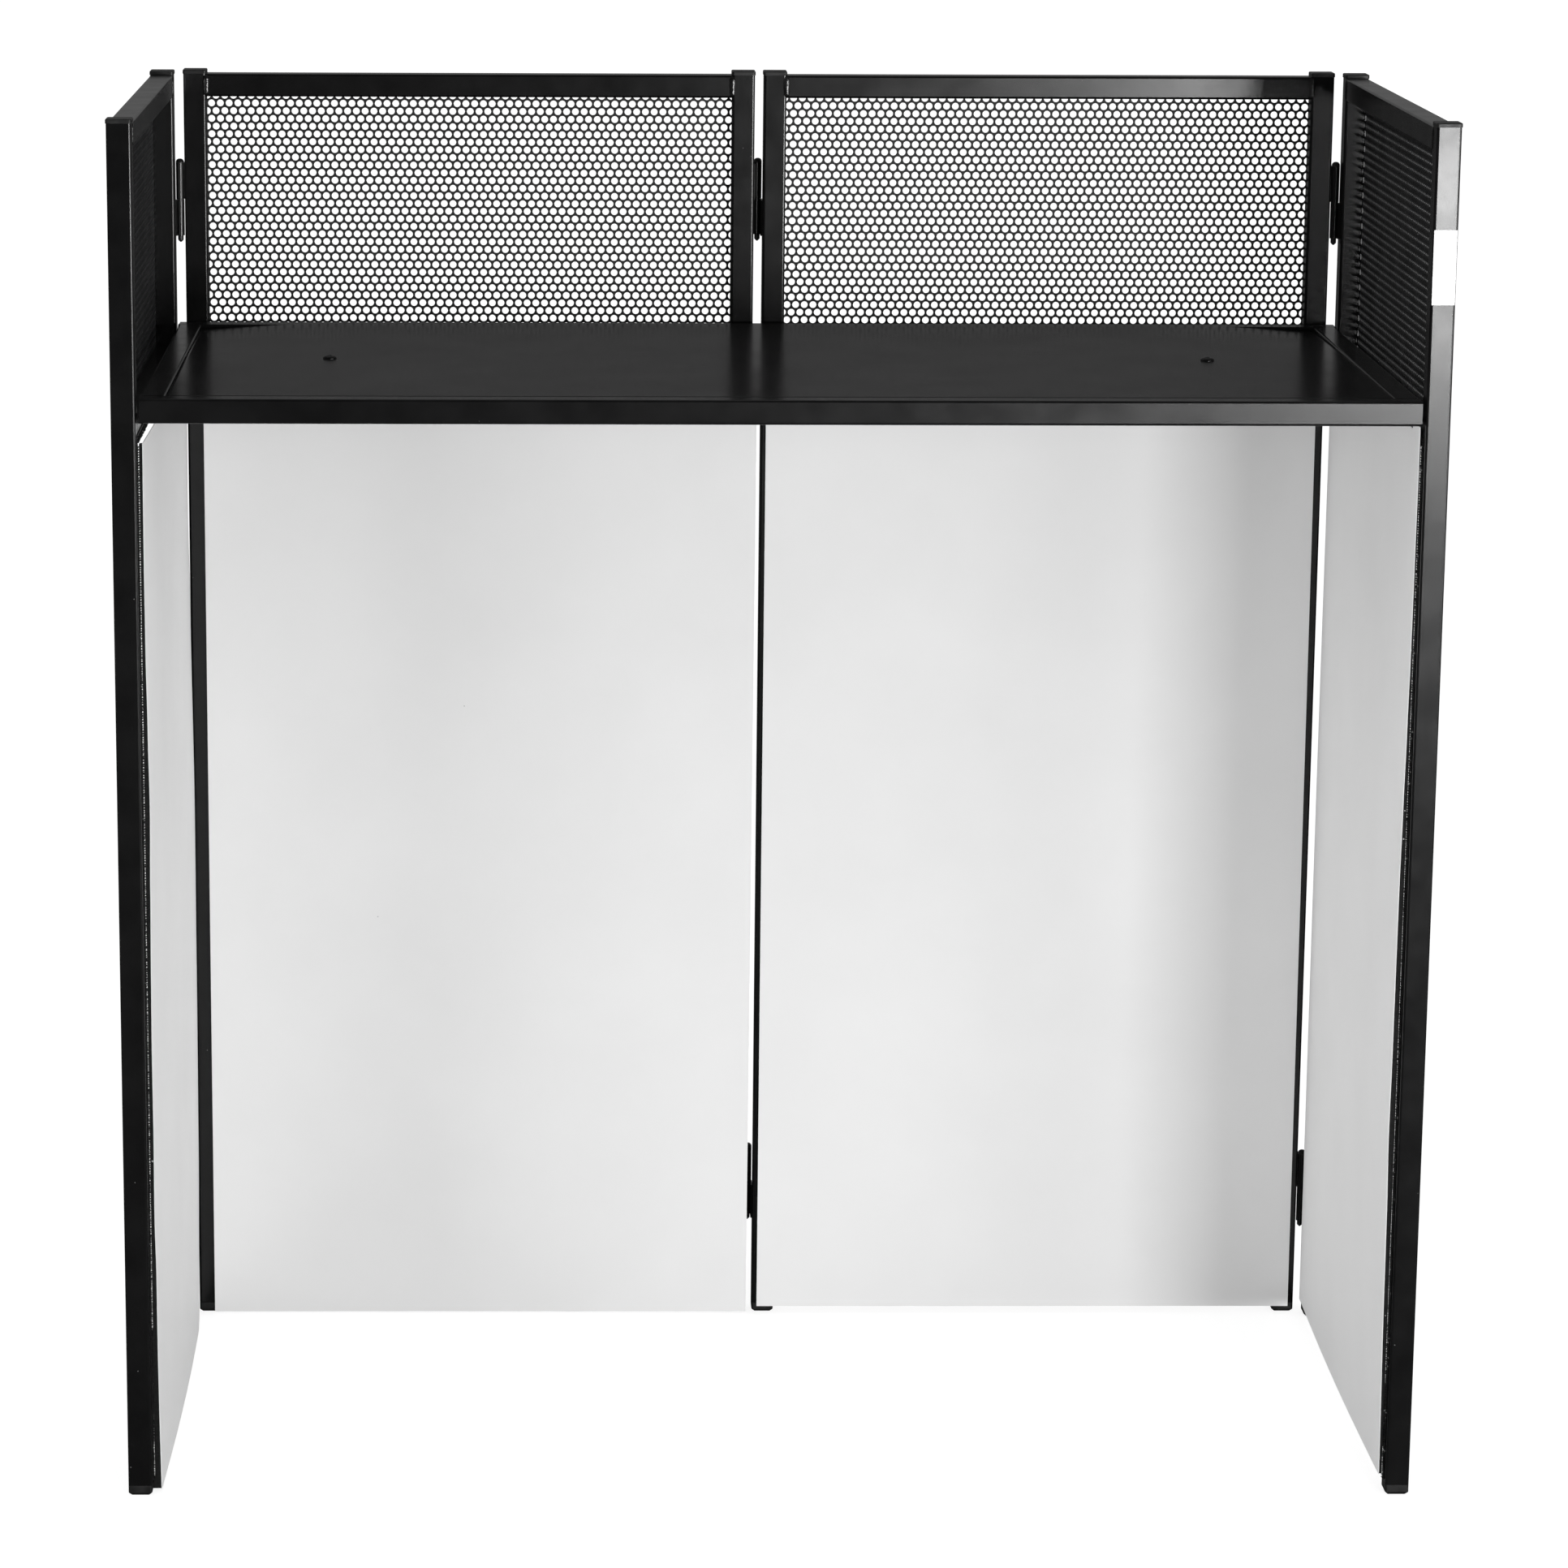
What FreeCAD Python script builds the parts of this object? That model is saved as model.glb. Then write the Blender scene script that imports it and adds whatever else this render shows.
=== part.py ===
"""Folding booth of four hinged steel panels with a lift-off shelf.

Frame: +Z up, floor at z = 0, +Y towards the audience, -Y towards the person behind the booth.
The origin lies on the floor, under the middle of the booth's width and depth.
"""
import FreeCAD
import Part
import Sketcher
import os

doc = FreeCAD.newDocument("dj_booth")

# Driving dimensions in millimetres
SIZES = {
    "booth_height": "1150",
    "front_width": "506",
    "wing_width": "494",
    "panel_gap": "8",
    "tube": "20",
    "tube_wall": "1.5",
    "tube_corner": "2",
    "cap_lip": "3.5",
    "cap_overhang": "0.5",
    "cap_edge": "1",
    "foot_height": "9",
    "foot_chamfer": "3",
    "plug_depth": "14",
    "plug_clearance": "0.1",
    "bottom_rail_height": "35",
    "grille_sheet": "1",
    "grille_inset": "1",
    "grille_pitch": "38",
    "grille_web": "4.6",
    "hinge_face_gap": "4",
    "corner_axis_depth": "2",
    "centre_axis_rise": "4",
    "wing_end_overlap": "2",
    "barrel_clearance": "0.4",
    "hinge_height": "64",
    "hinge_split": "0.4",
    "upper_hinge_drop": "114.5",
    "lower_hinge_rise": "121",
    "leaf_weld": "1.1",
    "front_leaf_length": "12",
    "wing_leaf_length": "6",
    "centre_leaf_length": "16",
    "pin_diameter": "5",
    "pin_clearance": "0.05",
    "pin_head_diameter": "7.2",
    "pin_head_height": "4",
    "pin_head_round": "3",
    "pin_tip": "6",
    "pin_point": "1.9",
    "shelf_height": "927",
    "shelf_side_gap": "3",
    "shelf_back_gap": "4",
    "board_thickness": "6",
    "board_gap": "0.6",
    "brace_width": "20",
    "brace_thickness": "6",
    "brace_spacing": "744",
    "screw_diameter": "6",
    "screw_clearance": "0.1",
    "screw_grip": "3",
    "screw_head_diameter": "11.6",
    "screw_head_height": "3",
    "screw_head_round": "2.5",
    "bracket_reach": "17",
    "bracket_drop": "6",
    "bracket_width": "20",
    "bracket_inset": "42",
    "bracket_round": "3",
    "tape_width": "8",
    "tape_thickness": "2.4",
    "near_tape_inset": "5",
    "far_tape_inset": "10",
    "tape_floor_gap": "12",
    "wing_tape_drop": "10",
    "sheet_thickness": "1",
    "sheet_top_gap": "2",
    "left_wing_sheet_top_gap": "17",
    "front_sheet_trim": "10",
    "left_sheet_floor_gap": "1.5",
    "right_sheet_floor_gap": "6.5",
    "left_sheet_margin": "14.4",
    "right_sheet_margin": "4.6",
    "wing_sheet_floor_gap": "3",
    "wing_sheet_near_inset": "9",
    "wing_sheet_far_inset": "12",
    "notch_clearance": "1.5",
    "label_width": "18.5",
    "label_height": "60",
    "label_film": "0.3",
    "label_drop": "85",
}

sheet = doc.addObject("Spreadsheet::Sheet", "Sizes")
for row, (alias, number) in enumerate(SIZES.items(), start=1):
    sheet.set("A%d" % row, alias.replace("_", " "))
    sheet.set("B%d" % row, number)
    sheet.setAlias("B%d" % row, alias)
doc.recompute()


def value(expression):
    """The number that an expression of the sheet's cells gives."""
    return float(sheet.evalExpression(expression))


def size(alias):
    return value("Sizes." + alias)


# Expressions that several pieces share
TUBE = "Sizes.tube"
TUBE_BORE = "(Sizes.tube - 2 * Sizes.tube_wall)"
PLUG_WIDTH = "(" + TUBE_BORE + " - 2 * Sizes.plug_clearance)"
UPRIGHT_LENGTH = "(Sizes.booth_height - Sizes.cap_lip - Sizes.foot_height)"
SHELF_BOTTOM = "(Sizes.shelf_height - Sizes.tube)"
WING_INNER = "(Sizes.panel_gap / 2 + Sizes.front_width + 2 * Sizes.hinge_face_gap)"
SHELF_WIDTH = "(2 * (" + WING_INNER + " - Sizes.shelf_side_gap))"
SHELF_DEPTH = ("(Sizes.wing_width - Sizes.wing_end_overlap - Sizes.corner_axis_depth"
               " - Sizes.shelf_back_gap)")
GRILLE_HEIGHT = "(Sizes.booth_height - Sizes.cap_lip - Sizes.tube - " + SHELF_BOTTOM + ")"
GRILLE_CELL = "min(Sizes.grille_pitch; " + GRILLE_HEIGHT + ")"
BARREL_HEIGHT = "((Sizes.hinge_height - Sizes.hinge_split) / 2)"
BARREL_RADIUS = "(Sizes.hinge_face_gap - Sizes.barrel_clearance)"
CORNER_LEAF = "(Sizes.barrel_clearance + Sizes.leaf_weld)"
CENTRE_LEAF = "(Sizes.panel_gap / 2 - " + BARREL_RADIUS + " + Sizes.leaf_weld)"
PIN_BORE = "(Sizes.pin_diameter + 2 * Sizes.pin_clearance)"
SCREW_HOLE = "(Sizes.screw_diameter + 2 * Sizes.screw_clearance)"

X_AXIS = FreeCAD.Vector(1, 0, 0)
Y_AXIS = FreeCAD.Vector(0, 1, 0)
Z_AXIS = FreeCAD.Vector(0, 0, 1)
TOLERANCE = 1e-6
QUARTER_TURN = 90
sub_parts = []


def at(x, y, z, turn=None):
    """A placement at a point, with an optional (axis, angle) turn."""
    rotation = FreeCAD.Rotation(*turn) if turn else FreeCAD.Rotation()
    return FreeCAD.Placement(FreeCAD.Vector(x, y, z), rotation)


def new_body(name):
    body = doc.addObject("PartDesign::Body", name)
    body.Label = name
    return body


def new_sketch(body, role):
    """A sketch on one of the body's own origin planes."""
    sketch = body.newObject("Sketcher::SketchObject", body.Name + "_sketch")
    plane = [p for p in body.Origin.OriginFeatures if p.Role == role][0]
    sketch.AttachmentSupport = (plane, [""])
    sketch.MapMode = "FlatFace"
    return sketch


def draw_rectangle(sketch, width, depth):
    """A rectangle centred on the sketch's origin, its two sides bound to expressions."""
    half_x = value(width) / 2
    half_y = value(depth) / 2
    corners = [FreeCAD.Vector(-half_x, -half_y, 0), FreeCAD.Vector(half_x, -half_y, 0),
               FreeCAD.Vector(half_x, half_y, 0), FreeCAD.Vector(-half_x, half_y, 0)]
    sides = [sketch.addGeometry(Part.LineSegment(corners[i], corners[(i + 1) % 4]), False)
             for i in range(4)]
    for i in range(4):
        sketch.addConstraint(Sketcher.Constraint("Coincident", sides[i], 2, sides[(i + 1) % 4], 1))
    for side, kind in zip(sides, ("Horizontal", "Vertical", "Horizontal", "Vertical")):
        sketch.addConstraint(Sketcher.Constraint(kind, side))
    sketch.addConstraint(Sketcher.Constraint("Symmetric", sides[0], 1, sides[2], 1, -1, 1))
    across = sketch.addConstraint(
        Sketcher.Constraint("DistanceX", sides[0], 1, sides[0], 2, 2 * half_x))
    along = sketch.addConstraint(
        Sketcher.Constraint("DistanceY", sides[1], 1, sides[1], 2, 2 * half_y))
    sketch.setExpression("Constraints[%d]" % across, width)
    sketch.setExpression("Constraints[%d]" % along, depth)


def draw_circle(sketch, diameter):
    """A circle about the sketch's origin, its diameter bound to an expression."""
    circle = Part.Circle(FreeCAD.Vector(0, 0, 0), Z_AXIS, value(diameter) / 2)
    ring = sketch.addGeometry(circle, False)
    sketch.addConstraint(Sketcher.Constraint("Coincident", ring, 3, -1, 1))
    across = sketch.addConstraint(Sketcher.Constraint("Diameter", ring, value(diameter)))
    sketch.setExpression("Constraints[%d]" % across, diameter)


def pad(body, sketch, length, down=False):
    feature = body.newObject("PartDesign::Pad", body.Name + "_pad")
    feature.Profile = sketch
    feature.setExpression("Length", length)
    feature.Reversed = down
    return feature


def edges_where(shape, test):
    """Names of the edges whose bounding box passes a test."""
    names = []
    for number, edge in enumerate(shape.Edges, start=1):
        if test(edge.BoundBox):
            names.append("Edge%d" % number)
    return names


def flat(low, high):
    """Whether two places along an axis are the same, within the model's tolerance."""
    return abs(high - low) < TOLERANCE


def round_edges(body, names, radius):
    base = body.Tip
    feature = body.newObject("PartDesign::Fillet", body.Name + "_round")
    feature.Base = (base, names)
    feature.setExpression("Radius", radius)
    doc.recompute()


def bevel_edges(body, names, width):
    base = body.Tip
    feature = body.newObject("PartDesign::Chamfer", body.Name + "_bevel")
    feature.Base = (base, names)
    feature.setExpression("Size", width)
    doc.recompute()


def upright_edges(shape, half):
    """Edges that run along Z at the corners of a square of the given half width."""
    def is_corner(box):
        straight = flat(box.XMin, box.XMax) and flat(box.YMin, box.YMax)
        return straight and flat(abs(box.XMin), half) and flat(abs(box.YMin), half)
    return edges_where(shape, is_corner)


def level_edges(shape, height):
    """Edges that lie flat at a height."""
    return edges_where(shape, lambda box: flat(box.ZMin, height) and flat(box.ZMax, height))


def keep(body, placement):
    """Place a finished sub-part and list it for export."""
    body.Placement = placement
    sub_parts.append(body)
    return body


def keep_group(name, pieces):
    """Several like solids that share one node."""
    group = doc.addObject("Part::Compound", name)
    group.Label = name
    group.Links = pieces
    sub_parts.append(group)
    return group


def make_tube(name, length):
    """Square tube with rounded corners, standing on its own origin."""
    body = new_body(name)
    section = new_sketch(body, "XY_Plane")
    draw_rectangle(section, TUBE, TUBE)
    draw_rectangle(section, TUBE_BORE, TUBE_BORE)
    pad(body, section, length)
    doc.recompute()
    round_edges(body, upright_edges(body.Shape, size("tube") / 2), "Sizes.tube_corner")
    return body


def make_plate(name, width, thickness, height):
    """Upright plate, centred in width and thickness, standing on its own origin."""
    body = new_body(name)
    section = new_sketch(body, "XY_Plane")
    draw_rectangle(section, width, thickness)
    pad(body, section, height)
    doc.recompute()
    return body


def holes_along(length):
    """How many of the grille's holes share a length, each with a cell of about the pitch."""
    return "round(" + length + " / " + GRILLE_CELL + ")"


def make_grille(name, width):
    """Punched sheet, standing on its own origin, with a plain grid of large round holes.

    They open the same share of the sheet as the fine staggered holes of the real grille.
    """
    body = make_plate(name, width, "Sizes.grille_sheet", GRILLE_HEIGHT)
    column = "(" + width + " / " + holes_along(width) + ")"
    row = "(" + GRILLE_HEIGHT + " / " + holes_along(GRILLE_HEIGHT) + ")"
    corner = new_sketch(body, "XZ_Plane")
    corner.setExpression("AttachmentOffset.Base.x", "(" + column + " - " + width + ") / 2")
    corner.setExpression("AttachmentOffset.Base.y", row + " / 2")
    draw_circle(corner, "(min(" + column + "; " + row + ") - Sizes.grille_web)")
    punch = body.newObject("PartDesign::Pocket", name + "_punch")
    punch.Profile = corner
    punch.Type = "ThroughAll"
    punch.Midplane = True
    doc.recompute()
    grid = body.newObject("PartDesign::LinearPattern", name + "_grid")
    grid.Originals = [punch]
    grid.Direction = (corner, ["H_Axis"])
    grid.setExpression("Length", width + " - " + column)
    grid.setExpression("Occurrences", holes_along(width))
    grid.Direction2 = (corner, ["V_Axis"])
    grid.setExpression("Length2", GRILLE_HEIGHT + " - " + row)
    grid.setExpression("Occurrences2", holes_along(GRILLE_HEIGHT))
    body.Tip = grid
    doc.recompute()
    return body


def make_cap(name, placement):
    """Plastic tube cap: a lip over the tube's end and a plug inside it."""
    body = new_body(name)
    width = "(Sizes.tube + 2 * Sizes.cap_overhang)"
    lip = new_sketch(body, "XY_Plane")
    draw_rectangle(lip, width, width)
    pad(body, lip, "Sizes.cap_lip")
    doc.recompute()
    round_edges(body, upright_edges(body.Shape, value(width) / 2), "Sizes.tube_corner")
    round_edges(body, level_edges(body.Shape, size("cap_lip")), "Sizes.cap_edge")
    plug = new_sketch(body, "XY_Plane")
    draw_rectangle(plug, PLUG_WIDTH, PLUG_WIDTH)
    pad(body, plug, "Sizes.plug_depth", down=True)
    doc.recompute()
    body.Placement = placement
    return body


def make_foot(name, placement):
    """Plastic glide foot: a bevelled block under the tube and a plug inside it."""
    body = new_body(name)
    block = new_sketch(body, "XY_Plane")
    draw_rectangle(block, TUBE, TUBE)
    pad(body, block, "Sizes.foot_height", down=True)
    doc.recompute()
    bevel_edges(body, level_edges(body.Shape, -size("foot_height")), "Sizes.foot_chamfer")
    round_edges(body, upright_edges(body.Shape, size("tube") / 2), "Sizes.tube_corner")
    plug = new_sketch(body, "XY_Plane")
    draw_rectangle(plug, PLUG_WIDTH, PLUG_WIDTH)
    pad(body, plug, "Sizes.plug_depth")
    doc.recompute()
    body.Placement = placement
    return body


def make_bracket(name, placement):
    """Shelf bracket: a tab on a tube's face with its lower front edge rounded off."""
    body = new_body(name)
    profile = new_sketch(body, "XY_Plane")
    draw_rectangle(profile, "Sizes.bracket_width", "Sizes.bracket_reach")
    pad(body, profile, "Sizes.bracket_drop", down=True)
    doc.recompute()
    front = -size("bracket_reach") / 2
    low = -size("bracket_drop")
    names = edges_where(body.Shape, lambda box: flat(box.YMin, front) and flat(box.YMax, front)
                        and flat(box.ZMin, low) and flat(box.ZMax, low))
    round_edges(body, names, "Sizes.bracket_round")
    body.Placement = placement.multiply(at(0, front, 0))
    return body


def make_barrel(name, placement, leaf_size, leaf_corner):
    """Half of a hinge: a bored barrel about its own Z axis, welded to a small leaf plate.

    leaf_size gives the plate's X and Y sides as expressions, leaf_corner its lowest corner.
    """
    barrel = doc.addObject("Part::Cylinder", name + "_barrel")
    barrel.setExpression("Radius", BARREL_RADIUS)
    barrel.setExpression("Height", BARREL_HEIGHT)
    leaf = doc.addObject("Part::Box", name + "_leaf")
    leaf.setExpression("Length", leaf_size[0])
    leaf.setExpression("Width", leaf_size[1])
    leaf.setExpression("Height", BARREL_HEIGHT)
    leaf.Placement = at(leaf_corner[0], leaf_corner[1], 0)
    joined = doc.addObject("Part::Fuse", name + "_joined")
    joined.Base = barrel
    joined.Tool = leaf
    bore = doc.addObject("Part::Cylinder", name + "_bore")
    bore.setExpression("Radius", PIN_BORE + " / 2")
    bore.setExpression("Height", BARREL_HEIGHT)
    half = doc.addObject("Part::Cut", name)
    half.Base = joined
    half.Tool = bore
    half.Placement = placement
    return half


def make_pin(name, placement):
    """Hinge pin: a domed head on the upper barrel, a shank and a pointed tip."""
    body = new_body(name)
    head = new_sketch(body, "XY_Plane")
    draw_circle(head, "Sizes.pin_head_diameter")
    pad(body, head, "Sizes.pin_head_height")
    doc.recompute()
    round_edges(body, level_edges(body.Shape, size("pin_head_height")), "Sizes.pin_head_round")
    shank = new_sketch(body, "XY_Plane")
    draw_circle(shank, "Sizes.pin_diameter")
    length = "(Sizes.hinge_height + Sizes.pin_tip)"
    pad(body, shank, length, down=True)
    doc.recompute()
    bevel_edges(body, level_edges(body.Shape, -value(length)), "Sizes.pin_point")
    body.Placement = placement
    return body


def make_screw(name, placement):
    """Dome-head screw, seated at its own origin."""
    body = new_body(name)
    head = new_sketch(body, "XY_Plane")
    draw_circle(head, "Sizes.screw_head_diameter")
    pad(body, head, "Sizes.screw_head_height")
    doc.recompute()
    round_edges(body, level_edges(body.Shape, size("screw_head_height")), "Sizes.screw_head_round")
    shank = new_sketch(body, "XY_Plane")
    draw_circle(shank, "Sizes.screw_diameter")
    pad(body, shank, "(Sizes.board_thickness + Sizes.brace_thickness + Sizes.screw_grip)", down=True)
    doc.recompute()
    body.Placement = placement
    return body


def cut_out(name, base, tools):
    """A body or primitive with other objects cut out of it."""
    union = tools[0]
    if len(tools) > 1:
        union = doc.addObject("Part::MultiFuse", name + "_cutters")
        union.Shapes = tools
    result = doc.addObject("Part::Cut", name)
    result.Label = name
    result.Base = base
    result.Tool = union
    sub_parts.append(result)
    return result


# Where the hinge axes stand, and how each panel lies
half_tube = size("tube") / 2
half_gap = size("panel_gap") / 2
face_gap = size("hinge_face_gap")
front_end = half_gap + size("front_width")
barrel_radius = value(BARREL_RADIUS)
reach_ahead = half_tube + size("centre_axis_rise") + barrel_radius
reach_behind = (half_tube - size("corner_axis_depth") - size("wing_end_overlap")
                + size("wing_width") + size("cap_overhang"))
front_y = (reach_behind - reach_ahead) / 2
corner_axis_x = front_end + face_gap
corner_axis_y = front_y - half_tube + size("corner_axis_depth")
centre_axis_y = front_y + half_tube + size("centre_axis_rise")
wing_middle_y = corner_axis_y + face_gap + half_tube
shelf_bottom = value(SHELF_BOTTOM)
rail_top = size("booth_height") - size("cap_lip")
lower_hinge = size("lower_hinge_rise")
upper_hinge = size("booth_height") - size("upper_hinge_drop")
hinge_middles = (("lower", lower_hinge), ("upper", upper_hinge))


def wing_swing(side):
    """The quarter turn about a corner hinge that brings an opened-out wing to its place.

    side is -1 for the left wing and 1 for the right one.
    """
    axis = FreeCAD.Vector(side * corner_axis_x, corner_axis_y, 0)
    return FreeCAD.Placement(FreeCAD.Vector(), FreeCAD.Rotation(Z_AXIS, -side * QUARTER_TURN), axis)


def wing_placement(side):
    """Where a wing goes, drawn with its left end at x = 0 and its middle plane at y = 0."""
    hinge_end = side * (corner_axis_x - size("wing_end_overlap"))
    left_end = hinge_end if side > 0 else hinge_end - size("wing_width")
    return wing_swing(side).multiply(at(left_end, wing_middle_y, 0))


PANELS = {
    "left_wing": (wing_placement(-1), "Sizes.wing_width", ("near", "far")),
    "left_front": (at(-front_end, front_y, 0), "Sizes.front_width", ("outer", "inner")),
    "right_front": (at(half_gap, front_y, 0), "Sizes.front_width", ("inner", "outer")),
    "right_wing": (wing_placement(1), "Sizes.wing_width", ("far", "near")),
}


def build_frame(panel):
    """The welded tube frame of a panel, its grille, its caps and its feet."""
    place, width, ends = PANELS[panel]
    span = value(width)
    centres = (half_tube, span - half_tube)
    for end, centre in zip(ends, centres):
        upright = make_tube("%s_%s_upright" % (panel, end), UPRIGHT_LENGTH)
        keep(upright, place.multiply(at(centre, 0, size("foot_height"))))
    rail_length = "(" + width + " - 2 * Sizes.tube)"
    rail_middles = {
        "top": rail_top - half_tube,
        "mid": shelf_bottom - half_tube,
        "bottom": size("bottom_rail_height") + half_tube,
    }
    for level, middle in rail_middles.items():
        rail = make_tube("%s_%s_rail" % (panel, level), rail_length)
        keep(rail, place.multiply(at(size("tube"), 0, middle, (Y_AXIS, QUARTER_TURN))))
    grille = make_grille(panel + "_grille", rail_length)
    grille_y = half_tube - size("grille_inset") - size("grille_sheet") / 2
    keep(grille, place.multiply(at(span / 2, grille_y, shelf_bottom)))
    caps = [make_cap("%s_cap_%s" % (panel, end), place.multiply(at(centre, 0, rail_top)))
            for end, centre in zip(ends, centres)]
    keep_group(panel + "_caps", caps)
    feet = [make_foot("%s_foot_%s" % (panel, end),
                      place.multiply(at(centre, 0, size("foot_height"))))
            for end, centre in zip(ends, centres)]
    keep_group(panel + "_feet", feet)


def build_front_cloth(panel, margin, floor_gap):
    """White sheet of a front panel, held to its rails by two strips of hook tape."""
    place, width, ends = PANELS[panel]
    span = value(width)
    tape_y = -half_tube - size("tape_thickness") / 2
    tape_length = "(Sizes.front_width - 2 * Sizes.tube)"
    strips = []
    for level, middle in (("top", shelf_bottom - half_tube),
                          ("bottom", size("bottom_rail_height") + half_tube)):
        low = middle - size("tape_width") / 2
        strip = make_plate("%s_%s_strip" % (panel, level), tape_length, "Sizes.tape_thickness",
                           "Sizes.tape_width")
        strip.Placement = place.multiply(at(span / 2, tape_y, low))
        strips.append(strip)
    keep_group(panel + "_hook_tape", strips)
    cloth_width = "(Sizes.front_width - Sizes.front_sheet_trim)"
    cloth_height = "(" + SHELF_BOTTOM + " - Sizes.sheet_top_gap - Sizes.right_sheet_floor_gap)"
    cloth = make_plate(panel + "_sheet", cloth_width, "Sizes.sheet_thickness", cloth_height)
    cloth_y = -half_tube - size("tape_thickness") - size("sheet_thickness") / 2
    cloth_x = margin + value(cloth_width) / 2
    keep(cloth, place.multiply(at(cloth_x, cloth_y, floor_gap)))


def from_near(panel, distance):
    """Place along a wing, measured from its near end."""
    place, width, ends = PANELS[panel]
    return distance if ends[0] == "near" else value(width) - distance


def bracket_middles():
    """The shelf brackets of a wing, measured from its near end."""
    half_width = size("bracket_width") / 2
    return {
        "near": size("bracket_inset") + half_width,
        "far": size("wing_width") - size("bracket_inset") - half_width,
    }


def build_wing_cloth(panel, top_gap):
    """White sheet of a wing on three strips of hook tape.

    A sheet that reaches up to the shelf brackets is notched round them.
    """
    place, width, ends = PANELS[panel]
    span = value(width)
    tape_y = -half_tube - size("tape_thickness") / 2
    half_tape = size("tape_width") / 2
    strip_top = shelf_bottom - size("wing_tape_drop") - size("tape_width")
    strip_length = ("(" + SHELF_BOTTOM + " - Sizes.wing_tape_drop - Sizes.tape_width"
                    " - Sizes.tape_floor_gap)")
    strips = []
    for end, middle in (("near", size("near_tape_inset") + half_tape),
                        ("far", span - size("far_tape_inset") - half_tape)):
        strip = make_plate("%s_%s_strip" % (panel, end), "Sizes.tape_width",
                           "Sizes.tape_thickness", strip_length)
        low = strip_top - value(strip_length)
        strip.Placement = place.multiply(at(from_near(panel, middle), tape_y, low))
        strips.append(strip)
    across = "(" + width + " - Sizes.near_tape_inset - Sizes.far_tape_inset)"
    strip = make_plate(panel + "_top_strip", across, "Sizes.tape_thickness", "Sizes.tape_width")
    middle = size("near_tape_inset") + value(across) / 2
    strip.Placement = place.multiply(at(from_near(panel, middle), tape_y, strip_top))
    strips.append(strip)
    keep_group(panel + "_hook_tape", strips)

    cloth_width = ("(Sizes.wing_width - Sizes.wing_sheet_near_inset"
                   " - Sizes.wing_sheet_far_inset)")
    cloth_height = "(" + SHELF_BOTTOM + " - " + top_gap + " - Sizes.wing_sheet_floor_gap)"
    cloth_y = -half_tube - size("tape_thickness") - size("sheet_thickness") / 2
    middle = size("wing_sheet_near_inset") + value(cloth_width) / 2
    cloth_place = place.multiply(
        at(from_near(panel, middle), cloth_y, size("wing_sheet_floor_gap")))
    notch_depth = "(Sizes.bracket_drop + Sizes.notch_clearance)"
    if value(top_gap) >= value(notch_depth):
        cloth = make_plate(panel + "_sheet", cloth_width, "Sizes.sheet_thickness", cloth_height)
        keep(cloth, cloth_place)
        return
    whole = make_plate(panel + "_whole_sheet", cloth_width, "Sizes.sheet_thickness", cloth_height)
    whole.Placement = cloth_place
    notches = []
    for end, bracket_middle in bracket_middles().items():
        notch = make_plate("%s_%s_notch" % (panel, end),
                           "(Sizes.bracket_width + 2 * Sizes.notch_clearance)", "Sizes.tube", notch_depth)
        notch.Placement = place.multiply(
            at(from_near(panel, bracket_middle), cloth_y, shelf_bottom - value(notch_depth)))
        notches.append(notch)
    cut_out(panel + "_sheet", whole, notches)


def build_brackets(panel):
    """The two shelf brackets on a wing's mid rail."""
    place, width, ends = PANELS[panel]
    brackets = []
    for end, middle in bracket_middles().items():
        seat = place.multiply(at(from_near(panel, middle), -half_tube, shelf_bottom))
        brackets.append(make_bracket("%s_%s_bracket" % (panel, end), seat))
    keep_group(panel + "_shelf_brackets", brackets)


def hinge_halves(name, level, axis_x, axis_y, swing, leaf_size, leaf_corner):
    """One barrel half on each hinge of a seam, below or above the split."""
    halves = []
    for place_name, middle in hinge_middles:
        low = middle + size("hinge_split") / 2
        if level == "lower":
            low = middle - size("hinge_height") / 2
        stand = swing.multiply(at(axis_x, axis_y, low))
        halves.append(make_barrel("%s_%s" % (name, place_name), stand, leaf_size, leaf_corner))
    return halves


def build_hinges():
    """Barrel hinges of the three seams: the barrels on each panel and the pins."""
    still = at(0, 0, 0)
    corner_leaf = value(CORNER_LEAF)
    upper_barrels = {"left_front": [], "right_front": []}
    for side, wing, front in ((-1, "left_wing", "left_front"), (1, "right_wing", "right_front")):
        axis_x = side * corner_axis_x
        on_end = -face_gap if side > 0 else face_gap - corner_leaf
        upper_barrels[front] += hinge_halves(
            front + "_corner_barrel", "upper", axis_x, corner_axis_y, still,
            (CORNER_LEAF, "Sizes.front_leaf_length"), (on_end, 0))
        along = 0 if side > 0 else -size("wing_leaf_length")
        keep_group(wing + "_hinge_barrels", hinge_halves(
            wing + "_barrel", "lower", axis_x, corner_axis_y, wing_swing(side),
            ("Sizes.wing_leaf_length", CORNER_LEAF), (along, face_gap - corner_leaf)))
    centre_leaf = (CENTRE_LEAF, "Sizes.centre_leaf_length")
    back = -size("centre_leaf_length")
    upper_barrels["left_front"] += hinge_halves(
        "left_front_centre_barrel", "upper", 0, centre_axis_y, still, centre_leaf, (-half_gap, back))
    upper_barrels["right_front"] += hinge_halves(
        "right_front_centre_barrel", "lower", 0, centre_axis_y, still, centre_leaf,
        (half_gap - value(CENTRE_LEAF), back))
    for front, barrels in upper_barrels.items():
        keep_group(front + "_hinge_barrels", barrels)
    for seam, axis_x, axis_y in (("left_corner", -corner_axis_x, corner_axis_y),
                                 ("centre", 0, centre_axis_y),
                                 ("right_corner", corner_axis_x, corner_axis_y)):
        pins = [make_pin("%s_pin_%s" % (seam, place_name),
                         at(axis_x, axis_y, middle + size("hinge_height") / 2))
                for place_name, middle in hinge_middles]
        keep_group(seam + "_hinge_pins", pins)


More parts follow.
